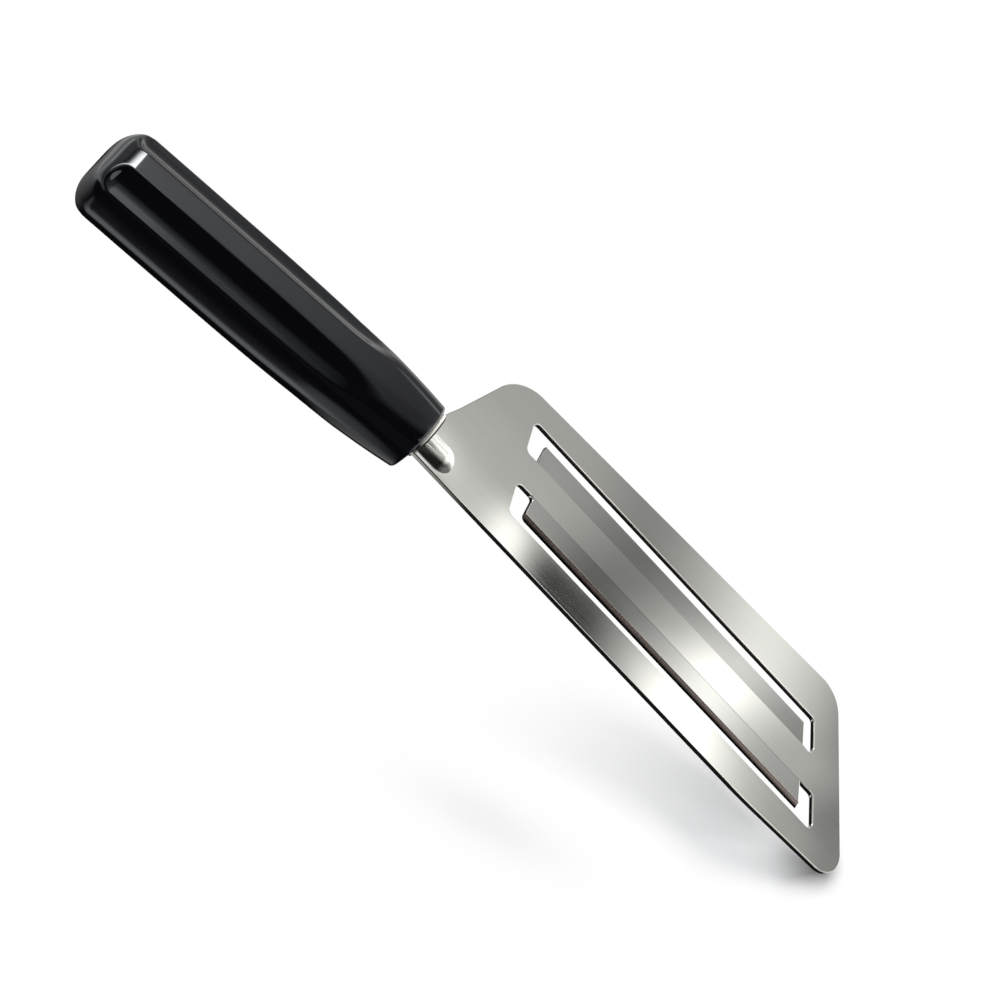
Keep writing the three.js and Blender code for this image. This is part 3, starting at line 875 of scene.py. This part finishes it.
class SLICER_OT_stage(bpy.types.Operator):
    """White floor, soft lamps, reflection cards and the camera."""

    bl_idname = "slicer.stage"
    bl_label = "Stage"

    def execute(self, context):
        stage = context.scene.slicer_stage
        self.camera(context, stage)
        self.floor(stage)
        for lamp_name, lamp in LAMPS.items():
            self.lamp(context, lamp_name, *lamp)
        self.cards()
        self.world(context)
        context.scene.view_settings.view_transform = "Standard"
        return {"FINISHED"}

    def camera(self, context, stage):
        data = bpy.data.cameras.new("camera")
        data.lens = stage.lens
        data.sensor_width = SENSOR
        data.clip_start = NEAR_CLIP
        camera = bpy.data.objects.new("camera", data)
        context.scene.collection.objects.link(camera)
        turn = Matrix((RIGHT, UP, TOWARD)).transposed().to_4x4()
        camera.matrix_world = Matrix.Translation(Vector(stage.aim) + TOWARD * stage.distance) @ turn
        context.scene.camera = camera

    def floor(self, stage):
        """White floor that falls from the tip.

        The shadow on it fades out under the plate, towards the handle and ahead of the plate.
        A darker painted shadow is added where the tip stands, and a faint second painted shadow streak lies
        farther ahead.
        """
        low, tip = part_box("slicing_plate")
        material = bpy.data.materials.new("white_floor")
        tree = Tree(material)
        x, y, _ = tree.axes()
        far = tip.x - x
        across = y - low.y
        edge = far * 0.517 + 2 * MM  # line under the plate where the shadow ends
        edge = edge - (far - 38 * MM).at_least(0.0) * 0.42  # flatter towards the handle
        edge = edge + (20 * MM - far).at_least(0.0) * 0.4  # fuller round the tip
        under = 1.0 - (across - edge).rise(-5 * MM, 9 * MM)
        front = 11 * MM + far.swell(27 * MM, 18 * MM) * 8 * MM - (10 * MM - far).at_least(0.0) * 0.85
        shade = under * (1.0 - far.rise(35 * MM, 130 * MM)) * (across + front).rise(0.0, 12 * MM)
        # painted shadows: a dark patch where the tip stands and a faint streak farther ahead
        painted_tip_shadow = far.swell(0.0, 12 * MM) * far.rise(-5 * MM, 1 * MM) * across.swell(4 * MM, 13 * MM)
        streak = far.swell(86 * MM, 20 * MM) * across.swell(-36 * MM, 9 * MM)

        dark = tree.node("BsdfDiffuse", None, {"Color": BLACK})
        white = tree.node("Emission", None, {"Color": WHITE, "Strength": 1.0})
        glowing = tree.node("Emission", None, {"Color": COOL_GLOW, "Strength": 0.34})
        matte = tree.node("BsdfDiffuse", None, {"Color": PAPER})
        shaded = tree.mix(painted_tip_shadow * 0.72, tree.node("AddShader", None, {0: glowing, 1: matte}), dark)
        lit = tree.mix(shade, tree.mix(streak * 0.1, white, dark), shaded)
        back = tree.node("NewGeometry", out="Backfacing")
        seen = tree.mix(back, lit, tree.node("BsdfTransparent"))
        tree.node("OutputMaterial", None, {"Surface": seen})

        falling = Vector((-np.cos(stage.tilt), 0.0, -np.sin(stage.tilt)))
        contact = Vector((tip.x, low.y + FLOOR_LINE, FLOOR_TOP))
        panel("floor", contact + falling * FLOOR_MIDDLE, -falling, (0.0, 1.0, 0.0), FLOOR_SIZE, material,
              camera=True, diffuse=True, transmission=True)

    def lamp(self, context, lamp_name, place, aim, size, power):
        data = bpy.data.lights.new(lamp_name, "AREA")
        data.shape = "DISK"
        data.size = size
        data.energy = power
        lamp = bpy.data.objects.new(lamp_name, data)
        context.scene.collection.objects.link(lamp)
        away = Vector(place) - Vector(aim)
        lamp.matrix_world = Matrix.Translation(place) @ away.to_track_quat("Z", "Y").to_matrix().to_4x4()
        lamp.visible_camera = False
        lamp.visible_glossy = False

    def cards(self):
        """Cards that only mirror-like rays see: name, middle, lie, size and glow."""
        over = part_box("slicing_plate")[1].z + BANDED_HEIGHT
        table = (
            ("banded_card", (-0.055, 0.24, over), LEVEL, (0.79, 0.3), glow("banded_glow", banded)),
            ("low_card", (0.0, -0.05, -0.09), LEVEL, (1.4, 1.3), glow("low_glow", below)),
            ("ceiling", (0.0, -0.2, 0.5), LEVEL, (1.4, 1.0), glow("ceiling_glow", overhead)),
            ("front_flag", (0.0, -0.5, 0.2), UPRIGHT, (1.8, 0.62), glow("ahead_glow", ahead)),
            ("left_flag", (-0.6, 0.3, 0.2), SIDEWAYS, (1.0, 0.6), glow("aside_glow", aside)),
            ("back_flag", (-0.07, 0.6, 0.18), UPRIGHT, (0.48, 0.54), glow("behind_glow", behind)),
            ("rim_card", (0.53, 0.6, 0.25), UPRIGHT, (0.72, 0.6), glow("rim_glow", steady(2.2))),
            ("edge_card", (0.255, 0.03, 0.4), LEVEL, (0.3, 0.34), glow("edge_glow", steady(1.9))),
        )
        for card_name, middle, (across, along), size, material in table:
            panel(card_name, middle, across, along, size, material, glossy=True)

    def world(self, context):
        world = bpy.data.worlds.new("studio")
        context.scene.world = world
        tree = Tree(world)
        seen = tree.node("LightPath", out="Is Camera Ray")
        mirrored = tree.node("LightPath", out="Is Glossy Ray")
        through = tree.node("LightPath", out="Is Transmission Ray")
        level = ROOM_LIGHT + (1.0 - ROOM_LIGHT) * (seen + mirrored + through).clamped()
        sky = tree.node("Background", None, {"Color": WHITE, "Strength": level})
        tree.node("OutputWorld", None, {"Surface": sky})


class SLICER_PT_panel(bpy.types.Panel):
    """Sidebar list of the slicer's pieces and their settings."""

    bl_idname = "SLICER_PT_panel"
    bl_label = "Cabbage slicer"
    bl_space_type = "VIEW_3D"
    bl_region_type = "UI"
    bl_category = "Slicer"

    def draw(self, context):
        layout = self.layout
        for operator, group in PIECES:
            box = layout.box()
            box.operator(operator)
            settings = getattr(context.scene, group)
            for prop in settings.bl_rna.properties:
                if prop.identifier not in ("name", "rna_type"):
                    box.prop(settings, prop.identifier)


PIECES = (
    ("slicer.plate", "slicer_plate"),
    ("slicer.handle", "slicer_handle"),
    ("slicer.collar", "slicer_collar"),
    ("slicer.stage", "slicer_stage"),
)

GROUPS = (
    ("slicer_plate", PlateSettings),
    ("slicer_handle", HandleSettings),
    ("slicer_collar", CollarSettings),
    ("slicer_stage", StageSettings),
)

CLASSES = (
    PlateSettings, HandleSettings, CollarSettings, StageSettings,
    SLICER_OT_plate, SLICER_OT_handle, SLICER_OT_collar, SLICER_OT_stage, SLICER_PT_panel,
)


def register():
    for kind in CLASSES:
        bpy.utils.register_class(kind)
    for group, kind in GROUPS:
        setattr(bpy.types.Scene, group, bpy.props.PointerProperty(type=kind))


def unregister():
    for group, _ in GROUPS:
        delattr(bpy.types.Scene, group)
    for kind in reversed(CLASSES):
        bpy.utils.unregister_class(kind)


def main():
    register()
    bpy.ops.slicer.plate()
    bpy.ops.slicer.handle()
    bpy.ops.slicer.collar()
    bpy.ops.slicer.stage()


if __name__ == "__main__":
    main()
